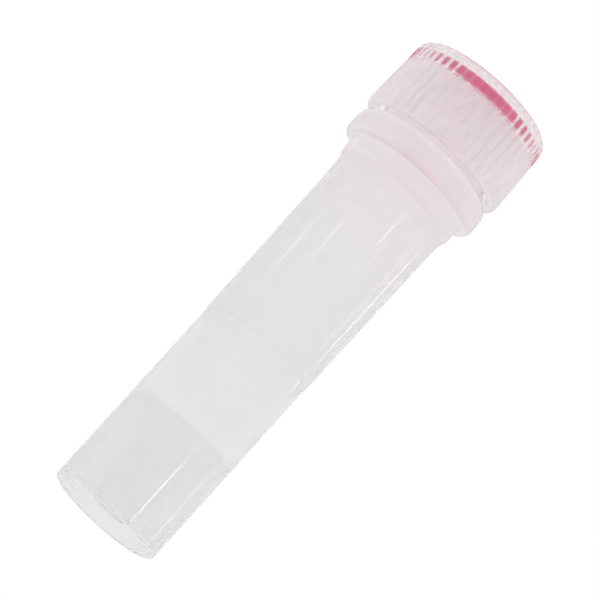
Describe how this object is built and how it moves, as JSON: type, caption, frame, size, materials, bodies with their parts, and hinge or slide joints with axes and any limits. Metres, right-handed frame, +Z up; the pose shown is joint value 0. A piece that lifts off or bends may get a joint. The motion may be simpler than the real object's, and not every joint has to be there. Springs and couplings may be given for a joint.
{
  "type": "cryovial",
  "caption": "Self-standing screw-cap sample vial with a skirted foot, a conical inside, a finely ribbed cap and a coloured cap insert.",
  "frame": {"origin": "centre of the ring that the skirt stands on, at the middle of the bounding box's bottom", "axes": "+Z up the tube's axis, towards the cap; +X and +Y are equal, and +X runs through the start of the neck's thread"},
  "size_m": [0.0138, 0.0138, 0.0475],
  "materials": {
    "natural_polypropylene": "translucent, smooth moulded",
    "cap_polypropylene": "translucent, smooth moulded",
    "magenta_plastic": "opaque, semi-gloss",
    "clear_silicone": "translucent, soft"
  },
  "bodies": {
    "vial": {"tube": "natural_polypropylene"},
    "seal": {"sealing_ring": "clear_silicone"},
    "closure": {"cap": "cap_polypropylene", "colour_insert": "magenta_plastic"}
  },
  "joints": [
    {"name": "cap_lift", "type": "slide", "parent": "vial", "child": "seal", "axis": [0, 0, 1], "range_m": [0, 0.0032]},
    {"name": "cap_turn", "type": "hinge", "parent": "seal", "child": "closure", "pos_m": [0, 0, 0.0404], "axis": [0, 0, 1], "range_deg": [0, 576]}
  ],
  "couplings": [
    {"joint": "cap_turn", "follows": "cap_lift", "rad_per_m": 3141.6}
  ]
}
